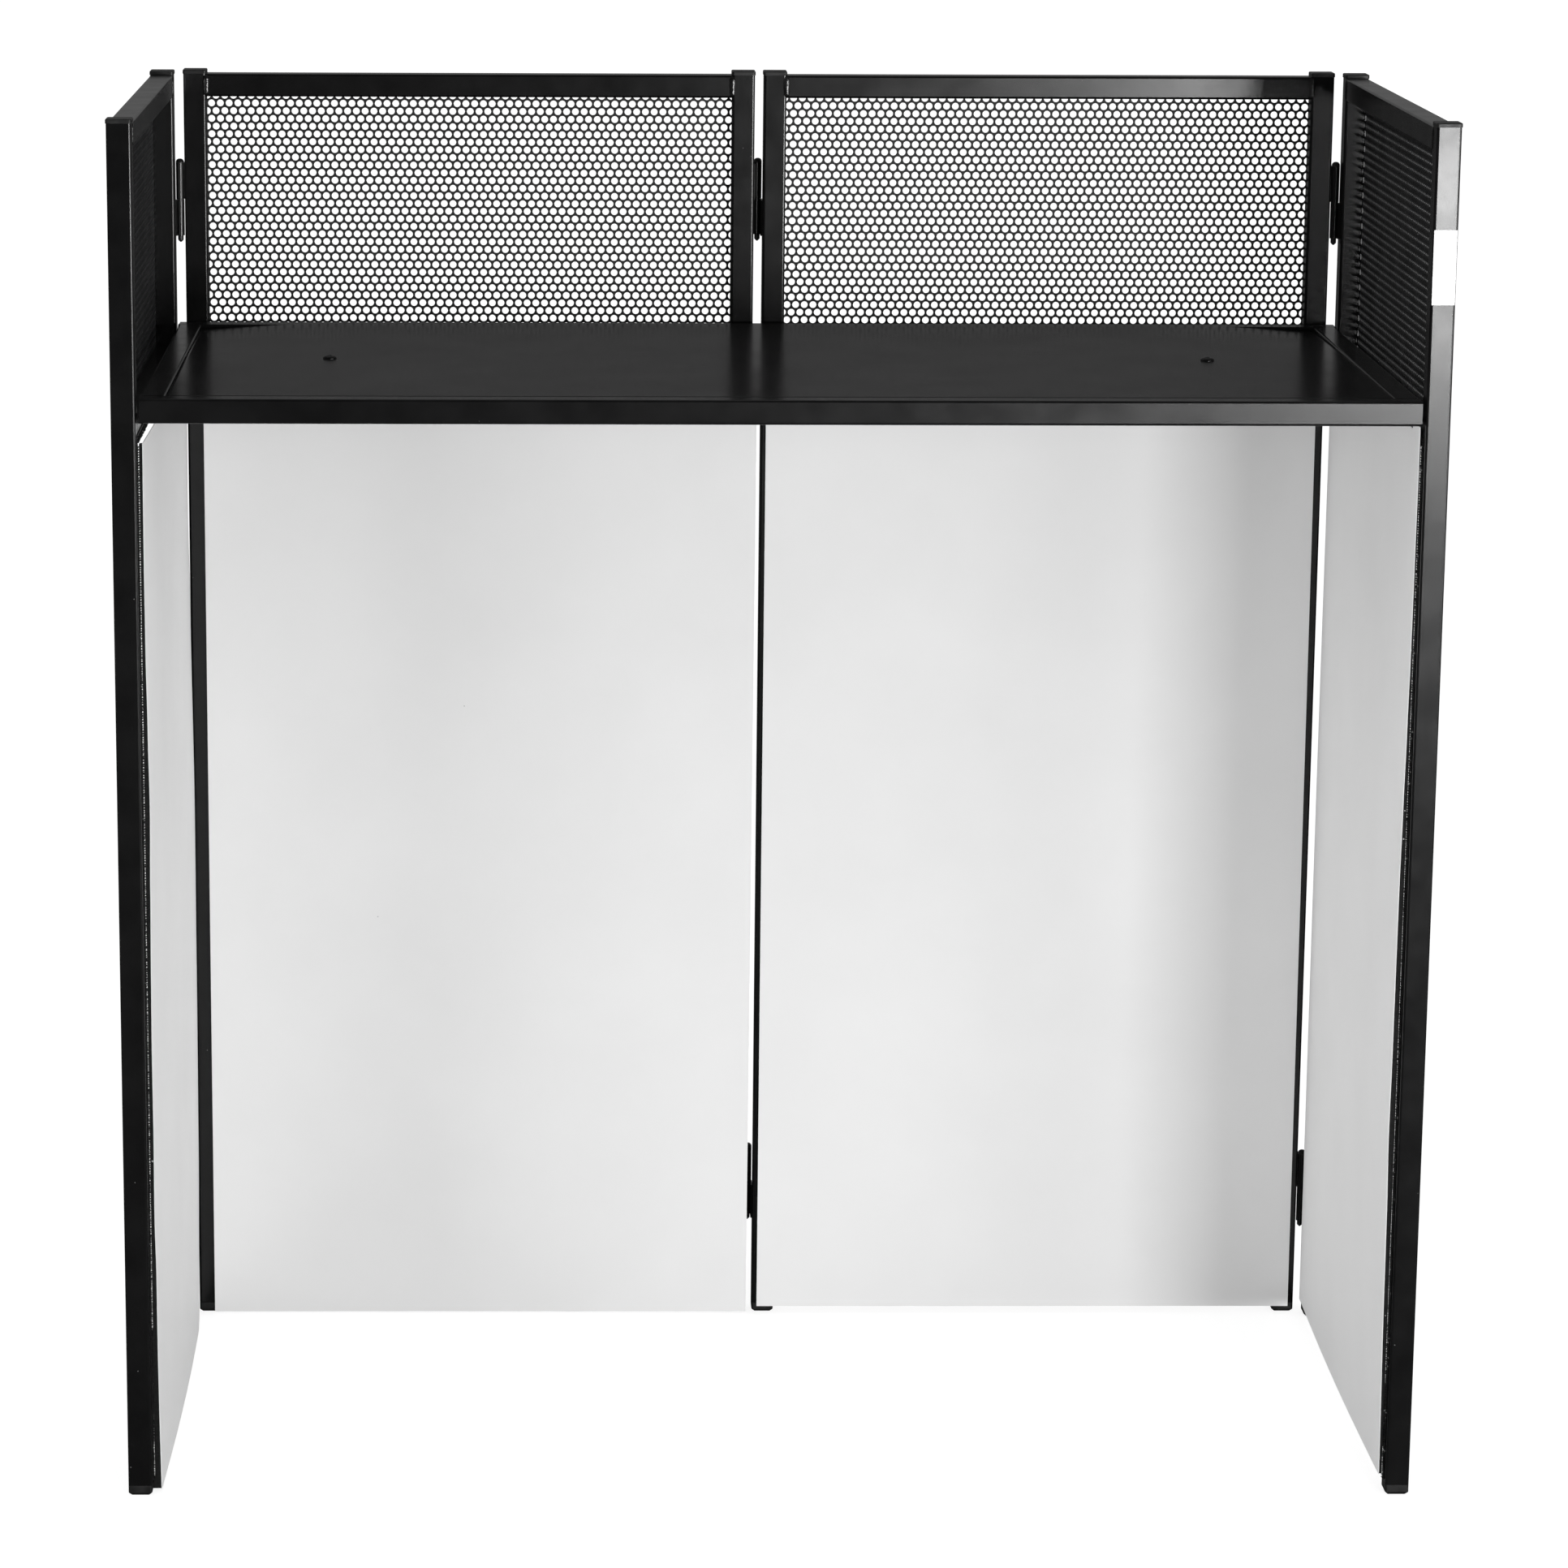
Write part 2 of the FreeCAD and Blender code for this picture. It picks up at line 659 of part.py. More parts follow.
def build_shelf():
    """Lift-off shelf: four tube rails, two flat braces, a board and its two screws."""
    width = value(SHELF_WIDTH)
    depth = value(SHELF_DEPTH)
    back = front_y - half_tube - size("shelf_back_gap")
    front = back - depth
    middle_y = (front + back) / 2
    middle_z = shelf_bottom + half_tube
    for end, rail_y in (("front", front + half_tube), ("back", back - half_tube)):
        rail = make_tube("shelf_%s_rail" % end, SHELF_WIDTH)
        keep(rail, at(-width / 2, rail_y, middle_z, (Y_AXIS, QUARTER_TURN)))
    side_length = "(" + SHELF_DEPTH + " - 2 * Sizes.tube)"
    for end, side in (("left", -1), ("right", 1)):
        rail = make_tube("shelf_%s_rail" % end, side_length)
        rail_x = side * (width / 2 - half_tube)
        keep(rail, at(rail_x, front + size("tube"), middle_z, (X_AXIS, -QUARTER_TURN)))

    screw_places = (-size("brace_spacing") / 2, size("brace_spacing") / 2)
    board_low = size("shelf_height") - size("board_thickness")
    brace_low = board_low - size("brace_thickness")
    drills = []
    for number, screw_x in enumerate(screw_places, start=1):
        drill = doc.addObject("Part::Cylinder", "screw_hole_%d" % number)
        drill.setExpression("Radius", SCREW_HOLE + " / 2")
        drill.setExpression("Height", "Sizes.board_thickness + Sizes.brace_thickness")
        drill.Placement = at(screw_x, middle_y, brace_low)
        drills.append(drill)
    blank = make_plate("shelf_board_blank", "(" + SHELF_WIDTH + " - 2 * Sizes.tube"
                       " - 2 * Sizes.board_gap)",
                       "(" + SHELF_DEPTH + " - 2 * Sizes.tube - 2 * Sizes.board_gap)",
                       "Sizes.board_thickness")
    blank.Placement = at(0, middle_y, board_low)
    cut_out("shelf_board", blank, drills)
    braces = []
    for number, (screw_x, drill) in enumerate(zip(screw_places, drills), start=1):
        bar = make_plate("brace_bar_%d" % number, "Sizes.brace_width", side_length,
                         "Sizes.brace_thickness")
        bar.Placement = at(screw_x, middle_y, brace_low)
        brace = doc.addObject("Part::Cut", "brace_%d" % number)
        brace.Base = bar
        brace.Tool = drill
        braces.append(brace)
    keep_group("shelf_braces", braces)
    screws = [make_screw("shelf_screw_%d" % number, at(screw_x, middle_y, size("shelf_height")))
              for number, screw_x in enumerate(screw_places, start=1)]
    keep_group("shelf_screws", screws)


def build_label():
    """Blank film label on the near end of the right wing."""
    place, width, ends = PANELS["right_wing"]
    label = make_plate("blank_label", "Sizes.label_film", "Sizes.label_width", "Sizes.label_height")
    low = size("booth_height") - size("label_drop") - size("label_height")
    keep(label, place.multiply(at(value(width) + size("label_film") / 2, 0, low)))


for panel_name in PANELS:
    build_frame(panel_name)
build_front_cloth("left_front", size("left_sheet_margin"), size("left_sheet_floor_gap"))
build_front_cloth("right_front", size("right_sheet_margin"), size("right_sheet_floor_gap"))
build_wing_cloth("left_wing", "Sizes.left_wing_sheet_top_gap")
build_wing_cloth("right_wing", "Sizes.sheet_top_gap")
build_brackets("left_wing")
build_brackets("right_wing")
build_hinges()
build_shelf()
build_label()
doc.recompute()

for item in doc.Objects:
    if "Invalid" in item.State or "Error" in item.State:
        raise RuntimeError("%s did not build: %s" % (item.Label, item.State))
for part in sub_parts:
    if part.Shape.isNull() or not part.Shape.isValid() or not part.Shape.Solids:
        raise RuntimeError("%s has no valid solid" % part.Label)

os.makedirs("parts", exist_ok=True)
for part in sub_parts:
    part.Shape.exportStep("parts/%s.step" % part.Label)
print("%d sub-parts, %d solids" % (len(sub_parts), sum(len(p.Shape.Solids) for p in sub_parts)))
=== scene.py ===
import bpy
import math
import random
from mathutils import Matrix, Vector, noise


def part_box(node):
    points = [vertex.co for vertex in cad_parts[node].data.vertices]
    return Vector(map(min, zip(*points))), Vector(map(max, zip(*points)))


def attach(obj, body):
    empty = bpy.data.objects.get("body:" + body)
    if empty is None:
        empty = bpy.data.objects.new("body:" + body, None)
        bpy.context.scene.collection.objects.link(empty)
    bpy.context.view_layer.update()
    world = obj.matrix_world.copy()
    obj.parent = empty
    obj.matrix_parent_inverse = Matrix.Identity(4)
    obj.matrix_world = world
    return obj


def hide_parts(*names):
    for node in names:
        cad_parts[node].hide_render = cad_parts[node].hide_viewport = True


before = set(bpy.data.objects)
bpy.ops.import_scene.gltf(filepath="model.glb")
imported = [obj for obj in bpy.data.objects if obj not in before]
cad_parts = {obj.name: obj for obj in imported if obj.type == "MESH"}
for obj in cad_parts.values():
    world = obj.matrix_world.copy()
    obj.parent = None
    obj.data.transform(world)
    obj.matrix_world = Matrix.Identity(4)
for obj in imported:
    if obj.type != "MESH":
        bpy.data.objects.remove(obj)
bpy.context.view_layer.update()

# Tube frames
# Each panel is a frame of 20 mm square steel tube, two uprights and three rails, saw-cut and welded.
# The frames are sprayed with black powder, which melts into a satin skin with a fine orange peel.
PANELS = ("left_wing", "left_front", "right_front", "right_wing")
UPRIGHTS = {"wing": ("near_upright", "far_upright"), "front": ("outer_upright", "inner_upright")}
RAILS = ("top_rail", "mid_rail", "bottom_rail")
PEEL_DEPTH, PEEL_STRENGTH, COAT_SPECULAR = 0.00004, 0.35, 0.42


def grey(value):
    return (value, value, value)


def begin_finish(name):
    finish = bpy.data.materials.new(name)
    finish.use_nodes = True
    return finish, finish.node_tree, finish.node_tree.nodes["Principled BSDF"]


def grain(tree, scale, detail=2.0, stretch=(1, 1, 1)):
    place = tree.nodes.new("ShaderNodeTexCoord")
    mapping = tree.nodes.new("ShaderNodeMapping")
    mapping.inputs["Scale"].default_value = stretch
    texture = tree.nodes.new("ShaderNodeTexNoise")
    texture.inputs["Scale"].default_value = scale
    texture.inputs["Detail"].default_value = detail
    tree.links.new(place.outputs["Object"], mapping.inputs["Vector"])
    tree.links.new(mapping.outputs["Vector"], texture.inputs["Vector"])
    return texture.outputs["Fac"]


def level(tree, value, low, high, start=0.35, end=0.65):
    scale = tree.nodes.new("ShaderNodeMapRange")
    scale.inputs["From Min"].default_value = start
    scale.inputs["From Max"].default_value = end
    scale.inputs["To Min"].default_value = low
    scale.inputs["To Max"].default_value = high
    tree.links.new(value, scale.inputs["Value"])
    return scale.outputs["Result"]


def tint(tree, value, low, high, start=0.35, end=0.65):
    ramp = tree.nodes.new("ShaderNodeValToRGB")
    ramp.color_ramp.elements[0].position = start
    ramp.color_ramp.elements[0].color = (*low, 1)
    ramp.color_ramp.elements[1].position = end
    ramp.color_ramp.elements[1].color = (*high, 1)
    tree.links.new(value, ramp.inputs["Fac"])
    return ramp.outputs["Color"]


def raise_grain(tree, shader, value, depth, strength=1.0):
    bump = tree.nodes.new("ShaderNodeBump")
    bump.inputs["Strength"].default_value = strength
    bump.inputs["Distance"].default_value = depth
    tree.links.new(value, bump.inputs["Height"])
    tree.links.new(bump.outputs["Normal"], shader.inputs["Normal"])


def dust(tree, colour, scale, share, size, speck):
    """Scattered specks over a colour: the middles of a small share of cells."""
    place = tree.nodes.new("ShaderNodeTexCoord")
    cells = tree.nodes.new("ShaderNodeTexVoronoi")
    cells.inputs["Scale"].default_value = scale
    tree.links.new(place.outputs["Object"], cells.inputs["Vector"])
    near = tree.nodes.new("ShaderNodeMath")
    near.operation = "LESS_THAN"
    near.inputs[1].default_value = size
    tree.links.new(cells.outputs["Distance"], near.inputs[0])
    parts = tree.nodes.new("ShaderNodeSeparateColor")
    tree.links.new(cells.outputs["Color"], parts.inputs["Color"])
    rare = tree.nodes.new("ShaderNodeMath")
    rare.operation = "LESS_THAN"
    rare.inputs[1].default_value = share
    tree.links.new(parts.outputs["Red"], rare.inputs[0])
    both = tree.nodes.new("ShaderNodeMath")
    both.operation = "MULTIPLY"
    tree.links.new(near.outputs[0], both.inputs[0])
    tree.links.new(rare.outputs[0], both.inputs[1])
    mix = tree.nodes.new("ShaderNodeMix")
    mix.data_type = "RGBA"
    tree.links.new(both.outputs[0], mix.inputs["Factor"])
    tree.links.new(colour, mix.inputs[6])
    mix.inputs[7].default_value = (*speck, 1)
    return mix.outputs[2]


def powder_coat(name, dark, pale, smooth, rough):
    finish, tree, shader = begin_finish(name)
    colour = tint(tree, grain(tree, 30, 4), dark, pale)
    colour = dust(tree, colour, scale=140, share=0.05, size=0.05, speck=grey(0.22))
    tree.links.new(colour, shader.inputs["Base Color"])
    gloss = level(tree, grain(tree, 40, 3), smooth, rough, 0.25, 0.75)
    tree.links.new(gloss, shader.inputs["Roughness"])
    shader.inputs["Specular IOR Level"].default_value = COAT_SPECULAR
    raise_grain(tree, shader, grain(tree, 700, 2), PEEL_DEPTH, PEEL_STRENGTH)
    return finish


def dress(names, finish):
    for name in names:
        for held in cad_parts[name].material_slots:
            held.material = finish


black_powder = powder_coat("black_powder", (0.002, 0.002, 0.0021), (0.0042, 0.0042, 0.0043), 0.19, 0.25)
for panel in PANELS:
    uprights = UPRIGHTS[panel.split("_")[1]]
    dress([f"{panel}_{tube}" for tube in (*uprights, *RAILS)], black_powder)

# Weld beads at the rails' ends
# The rails are butted between the uprights and closed with one short bead on each face, left as laid.
# The powder pools on the beads and is glossier there, so they show as small bright ripples by the uprights.
BEAD_WIDTH, BEAD_HEIGHT, BEAD_SHORT = 0.0056, 0.0010, 0.001
RIPPLE, RIPPLES, SWAY, SWAY_TURN = 0.035, 11, 0.05, 4.3


def lay_bead(start, end, out):
    """One weld bead from start to end, with ripples along it, standing out of the joint."""
    start, end, out = Vector(start), Vector(end), Vector(out)
    side = (end - start).normalized().cross(out)
    bpy.ops.object.select_all(action="DESELECT")
    bpy.ops.mesh.primitive_uv_sphere_add(segments=10, ring_count=24, radius=1.0)
    bead = bpy.context.object
    for vertex in bead.data.vertices:
        x, y, along = vertex.co
        ring = math.hypot(x, y)
        swell = math.sqrt(max(0.0, 1 - abs(along) ** 6)) / ring if ring > 1e-6 else 0.0
        swell *= 1 + RIPPLE * math.sin(RIPPLES * math.pi * along) + SWAY * math.sin(SWAY_TURN * along)
        vertex.co = (start.lerp(end, 0.5 + 0.5 * along) + side * x * swell * BEAD_WIDTH / 2
                     + out * y * swell * BEAD_HEIGHT)
    return bead


def weld_skin(name):
    finish, tree, shader = begin_finish(name)
    tree.links.new(tint(tree, grain(tree, 90, 3), grey(0.003), grey(0.012)), shader.inputs["Base Color"])
    tree.links.new(level(tree, grain(tree, 260, 2), 0.12, 0.22), shader.inputs["Roughness"])
    raise_grain(tree, shader, grain(tree, 420, 2), 0.0004, 0.5)
    return finish


pooled_powder = weld_skin("pooled_powder")


def join(name, parts):
    bpy.ops.object.select_all(action="DESELECT")
    for part in parts:
        part.select_set(True)
    bpy.context.view_layer.objects.active = parts[0]
    bpy.ops.object.join()
    piece = bpy.context.object
    piece.name = name
    return piece


def join_beads(name, beads, body):
    piece = join(name, beads)
    bpy.ops.object.shade_smooth()
    piece.data.materials.append(pooled_powder)
    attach(piece, body)


for panel in PANELS:
    beads = []
    for rail in RAILS:
        low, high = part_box(f"{panel}_{rail}")
        foot, head = low.z + BEAD_SHORT, high.z - BEAD_SHORT
        if panel.endswith("front"):
            ends = [((x, face), (0, out, 0)) for x in (low.x, high.x)
                    for face, out in ((low.y, -1), (high.y, 1)) if rail == "top_rail" or out > 0]
        else:
            inner, outer = (low.x, high.x) if panel == "right_wing" else (high.x, low.x)
            out = 1 if panel == "right_wing" else -1
            ends = [((face, y), (way, 0, 0)) for y in (low.y, high.y)
                    for face, way in ((inner, -out), (outer, out)) if rail == "top_rail" or face == outer]
        for (x, y), out in ends:
            beads.append(lay_bead((x, y, foot), (x, y, head), out))
    join_beads(f"{panel}_welds", beads, panel)

# Caps and feet
# Moulded black plastic plugs, ribbed inside and pushed into the tubes' open ends, with a square lip.
# The feet have a rounded tread that the booth stands on.
def moulded_plastic(name, dark, pale):
    finish, tree, shader = begin_finish(name)
    tree.links.new(tint(tree, grain(tree, 80, 3), dark, pale), shader.inputs["Base Color"])
    tree.links.new(level(tree, grain(tree, 160, 3), 0.38, 0.52), shader.inputs["Roughness"])
    shader.inputs["Specular IOR Level"].default_value = 0.4
    raise_grain(tree, shader, grain(tree, 2600, 2), 0.00004, 0.6)
    return finish


black_plastic = moulded_plastic("black_plastic", grey(0.006), grey(0.013))
dress([f"{panel}_{plug}" for panel in PANELS for plug in ("caps", "feet")], black_plastic)

# Perforated grilles
# Steel sheet, 1 mm, punched with staggered round holes right up to its cut edges.
# Each sheet is tacked into the upper bay of its frame, near the outer side, and coated with it.
HOLE, PITCH, ROW, GAUGE, SAME_SPOT = 0.0062, 0.00779, 0.00683, 0.001, 0.00002
HOLE_AT = {"left_front": (-0.25256, 1.02365), "right_front": (0.26097, 1.02274),
           "left_wing": (0.0012, 1.0231), "right_wing": (-0.0006, 1.0231)}


def repeat(piece, label, count, step):
    copies = piece.modifiers.new(label, "ARRAY")
    copies.count = count
    copies.use_relative_offset = False
    copies.use_constant_offset = True
    copies.constant_offset_displace = step
    bpy.ops.object.modifier_apply(modifier=label)


def face_out():
    bpy.ops.object.mode_set(mode="EDIT")
    bpy.ops.mesh.select_all(action="SELECT")
    bpy.ops.mesh.normals_make_consistent(inside=False)
    bpy.ops.object.mode_set(mode="OBJECT")


def punch_sheet(name, low, high, hole_at):
    """A punched sheet in x and z between two corners, with the middle of one hole at hole_at."""
    bpy.ops.object.select_all(action="DESELECT")
    bpy.ops.mesh.primitive_circle_add(vertices=12, radius=HOLE / 2, rotation=(math.pi / 2, 0, 0))
    sheet = bpy.context.object
    sheet.name = name
    bpy.ops.object.transform_apply(location=False, rotation=True, scale=False)
    bpy.ops.object.mode_set(mode="EDIT")
    bpy.ops.mesh.primitive_circle_add(vertices=6, radius=PITCH / math.sqrt(3), rotation=(math.pi / 2, 0, 0))
    bpy.ops.mesh.select_all(action="SELECT")
    bpy.ops.mesh.bridge_edge_loops()
    bpy.ops.object.mode_set(mode="OBJECT")
    back = math.ceil((hole_at[0] - low[0]) / PITCH) + 1
    down = math.ceil((hole_at[1] - low[1]) / (2 * ROW)) + 1
    start = (hole_at[0] - back * PITCH, hole_at[1] - down * 2 * ROW)
    for vertex in sheet.data.vertices:
        x, z = vertex.co.x, vertex.co.z
        if math.hypot(x, z) > HOLE * 0.52:
            if abs(x) < 1e-6:
                z = math.copysign(ROW * 2 / 3, z)
            else:
                x, z = math.copysign(PITCH / 2, x), math.copysign(ROW / 3, z)
        vertex.co = (start[0] + x, 0, start[1] + z)
    across = math.ceil((high[0] - start[0]) / PITCH) + 1
    up = math.ceil((high[1] - start[1]) / (2 * ROW)) + 1
    repeat(sheet, "stagger", 2, (PITCH / 2, 0, ROW))
    repeat(sheet, "across", across, (PITCH, 0, 0))
    repeat(sheet, "up", up, (0, 0, 2 * ROW))
    bpy.ops.object.mode_set(mode="EDIT")
    bpy.ops.mesh.select_all(action="SELECT")
    bpy.ops.mesh.remove_doubles(threshold=SAME_SPOT)
    for point, normal in (((low[0], 0, 0), (-1, 0, 0)), ((high[0], 0, 0), (1, 0, 0)),
                          ((0, 0, low[1]), (0, 0, -1)), ((0, 0, high[1]), (0, 0, 1))):
        bpy.ops.mesh.select_all(action="SELECT")
        bpy.ops.mesh.bisect(plane_co=point, plane_no=normal, clear_outer=True)
    bpy.ops.object.mode_set(mode="OBJECT")
    face_out()
    wall = sheet.modifiers.new("gauge", "SOLIDIFY")
    wall.thickness = GAUGE
    wall.offset = 0
    bpy.ops.object.modifier_apply(modifier="gauge")
    bpy.ops.object.shade_smooth_by_angle(angle=math.radians(40))
    return sheet


punched_powder = powder_coat("punched_powder", (0.005, 0.005, 0.0052), (0.01, 0.01, 0.0104), 0.5, 0.6)
for panel, hole_at in HOLE_AT.items():
    node = f"{panel}_grille"
    low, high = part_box(node)
    middle = (low + high) / 2
    if panel.endswith("front"):
        grille = punch_sheet(f"{panel}_punched_grille", (low.x, low.z), (high.x, high.z), hole_at)
        grille.location = (0, middle.y, 0)
    else:
        grille = punch_sheet(f"{panel}_punched_grille", (low.y, low.z), (high.y, high.z), hole_at)
        grille.rotation_euler = (0, 0, math.pi / 2)
        grille.location = (middle.x, 0, 0)
    bpy.ops.object.transform_apply(location=True, rotation=True, scale=False)
    grille.data.materials.append(punched_powder)
    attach(grille, panel)
    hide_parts(node)

# Hinges
# Drawn steel barrels welded to the uprights in pairs, coated with the frame, and turning on a loose
# headed pin that drops in from above.
dress([f"{panel}_hinge_barrels" for panel in PANELS], black_powder)
pin_steel = powder_coat("blacked_pin", grey(0.006), grey(0.014), 0.24, 0.34)
dress(("left_corner_hinge_pins", "centre_hinge_pins", "right_corner_hinge_pins"), pin_steel)

# Hook tape
# Woven nylon tape with stiff black hooks, glued along the fronts' rails and the wings' uprights and
# mid rails. The white sheets press onto it, and lint from their cut edges stays in the hooks.
TAPE, TAPE_BACK, HOOK_STEP = 0.008, 0.0009, 0.0021
HOOK_FOOT, HOOK_TIP, HOOK_ROOT, SHORTEST = 0.00055, 0.0003, TAPE_BACK * 0.6, 0.62
LEAN_OVER, LEAN_ALONG = 0.0004, 0.0006


def lay_tape(name, low, high, hooks_out):
    """A strip of hook tape that fills low to high, its hooks standing along an axis, up or down it."""
    axis, way = hooks_out
    long = max(range(3), key=lambda i: high[i] - low[i])
    wide = 3 - axis - long
    size = high - low
    columns, rows = int(size[long] / HOOK_STEP), int(size[wide] / HOOK_STEP)
    bpy.ops.object.select_all(action="DESELECT")
    bpy.ops.mesh.primitive_cube_add(size=1.0)
    back = bpy.context.object
    bpy.ops.object.mode_set(mode="EDIT")
    bpy.ops.mesh.select_all(action="SELECT")
    bpy.ops.mesh.bevel(offset=0.12, segments=2, affect="EDGES")
    bpy.ops.object.mode_set(mode="OBJECT")
    for vertex in back.data.vertices:
        spot = Vector((0, 0, 0))
        for i, share in ((long, vertex.co.x + 0.5), (wide, vertex.co.y + 0.5)):
            spot[i] = low[i] + share * size[i]
        rise = (vertex.co.z + 0.5) * TAPE_BACK
        spot[axis] = low[axis] + rise if way > 0 else high[axis] - rise
        vertex.co = spot
    bpy.ops.object.select_all(action="DESELECT")
    bpy.ops.mesh.primitive_cone_add(vertices=4, radius1=HOOK_FOOT, radius2=HOOK_TIP,
                                    depth=size[axis] - HOOK_ROOT, end_fill_type="NGON")
    hooks = bpy.context.object
    repeat(hooks, "columns", columns, (HOOK_STEP, 0, 0))
    repeat(hooks, "rows", rows, (0, HOOK_STEP, 0))
    chance = random.Random(len(name) * 7 + 3)
    margin = (size[wide] - rows * HOOK_STEP) / 2
    lean = {}
    for vertex in hooks.data.vertices:
        key = (round(vertex.co.x / HOOK_STEP), round(vertex.co.y / HOOK_STEP))
        if key not in lean:
            over = chance.uniform(-1, 1) * LEAN_OVER
            along = chance.uniform(-1, 1) * LEAN_ALONG
            lean[key] = (over, along, chance.uniform(SHORTEST, 1.0))
        over, along, tall = lean[key]
        top = vertex.co.z > 0
        spot = Vector((0, 0, 0))
        spot[long] = low[long] + HOOK_STEP / 2 + vertex.co.x + (along if top else 0)
        spot[wide] = low[wide] + margin + HOOK_STEP / 2 + vertex.co.y + (over if top else 0)
        rise = size[axis] * tall if top else HOOK_ROOT
        spot[axis] = low[axis] + rise if way > 0 else high[axis] - rise
        spot[wide] = min(max(spot[wide], low[wide]), high[wide])
        spot[long] = min(max(spot[long], low[long]), high[long])
        vertex.co = spot
    strip = join(name, [back, hooks])
    face_out()
    return strip


def hook_nylon(name, lint):
    finish, tree, shader = begin_finish(name)
    colour = tint(tree, grain(tree, 700, 3), grey(0.003), grey(0.01))
    colour = dust(tree, colour, scale=420, share=lint, size=0.33, speck=grey(0.4))
    tree.links.new(colour, shader.inputs["Base Color"])
    tree.links.new(level(tree, grain(tree, 900, 2), 0.5, 0.75), shader.inputs["Roughness"])
    shader.inputs["Specular IOR Level"].default_value = 0.25
    raise_grain(tree, shader, grain(tree, 1800, 2), 0.0002, 0.8)
    return finish


black_hooks = hook_nylon("black_hooks", 0.06)
for panel in PANELS:
    node = f"{panel}_hook_tape"
    low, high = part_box(node)
    strips = []
    if panel.endswith("front"):
        hooks_out = (1, -1)
        runs = [((low.x, low.y, foot), (high.x, high.y, foot + TAPE))
                for foot in (low.z, high.z - TAPE)]
    else:
        hooks_out = (0, 1 if panel == "left_wing" else -1)
        runs = [((low.x, near, low.z), (high.x, near + TAPE, high.z - TAPE))
                for near in (low.y, high.y - TAPE)]
        runs.append(((low.x, low.y, high.z - TAPE), (high.x, high.y, high.z)))
    for start, end in runs:
        strips.append(lay_tape(f"{panel}_tape", Vector(start), Vector(end), hooks_out))
    tape = join(f"{panel}_hook_strips", strips)
    tape.data.materials.append(black_hooks)
    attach(tape, panel)
    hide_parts(node)

# White sheets
# Stretch cloth, white and slightly stiff, cut to the bay and pressed onto the hook tape from the inside.
# The edges are cut and not hemmed.
# The wings' sheets stand off in slow waves on the loop tape sewn to their backs.
CLOTH = 0.0005
FRONT_WAVE, FRONT_BELLY = 0.0006, 0.0012


def slice_at(point, normal):
    bpy.ops.mesh.select_all(action="SELECT")
    bpy.ops.mesh.bisect(plane_co=point, plane_no=normal)


def cut_cloth(name, width, height, notches):
    """Flat cloth in x and y from 0 to its size, fine enough to wave, less the notches in its top edge."""
    bpy.ops.object.select_all(action="DESELECT")
    bpy.ops.mesh.primitive_grid_add(x_subdivisions=44, y_subdivisions=84, size=1.0, location=(0.5, 0.5, 0))
    cloth = bpy.context.object
    cloth.name = name
    bpy.ops.object.transform_apply(location=True, rotation=False, scale=False)
    bpy.ops.object.mode_set(mode="EDIT")
    bpy.ops.mesh.select_all(action="SELECT")
    bpy.ops.transform.resize(value=(width, height, 1), center_override=(0, 0, 0))
    for low, high, foot in notches:
        slice_at((low, 0, 0), (1, 0, 0))
        slice_at((high, 0, 0), (1, 0, 0))
        slice_at((0, foot, 0), (0, 1, 0))
    bpy.ops.mesh.select_all(action="DESELECT")
    bpy.ops.object.mode_set(mode="OBJECT")
    for face in cloth.data.polygons:
        x, y = face.center.x, face.center.y
        face.select = any(low < x < high and y > foot for low, high, foot in notches)
    bpy.ops.object.mode_set(mode="EDIT")
    bpy.ops.mesh.select_mode(type="FACE")
    bpy.ops.mesh.delete(type="FACE")
    bpy.ops.object.mode_set(mode="OBJECT")
    return cloth


def hang_cloth(cloth, place):
    for vertex in cloth.data.vertices:
        vertex.co = place(vertex.co.x, vertex.co.y)
    bpy.ops.object.select_all(action="DESELECT")
    cloth.select_set(True)
    bpy.context.view_layer.objects.active = cloth
    wall = cloth.modifiers.new("cloth", "SOLIDIFY")
    wall.thickness = CLOTH
    wall.offset = 0
    bpy.ops.object.modifier_apply(modifier="cloth")
    face_out()
    bpy.ops.object.shade_smooth_by_angle(angle=math.radians(50))


def between(table, value):
    """Read a table of (place, amount) pairs in falling order of place, eased from one pair to the next."""
    if value >= table[0][0]:
        return table[0][1]
    for (top, first), (foot, second) in zip(table, table[1:]):
        if value >= foot:
            share = (top - value) / (top - foot)
            share = share * share * (3 - 2 * share)
            return first + (second - first) * share
    return table[-1][1]


def white_cloth(name):
    finish, tree, shader = begin_finish(name)
    colour = tint(tree, grain(tree, 6, 3), grey(0.845), grey(0.885), 0.3, 0.7)
    colour = dust(tree, colour, scale=38, share=0.035, size=0.018, speck=grey(0.3))
    tree.links.new(colour, shader.inputs["Base Color"])
    tree.links.new(level(tree, grain(tree, 420, 2), 0.55, 0.72), shader.inputs["Roughness"])
    shader.inputs["Specular IOR Level"].default_value = 0.35
    weave = tree.nodes.new("ShaderNodeMath")
    weave.operation = "ADD"
    tree.links.new(grain(tree, 1500, 1, (1, 1, 0.25)), weave.inputs[0])
    tree.links.new(grain(tree, 1500, 1, (0.3, 0.3, 1)), weave.inputs[1])
    raise_grain(tree, shader, weave.outputs[0], 0.00005, 0.5)
    return finish


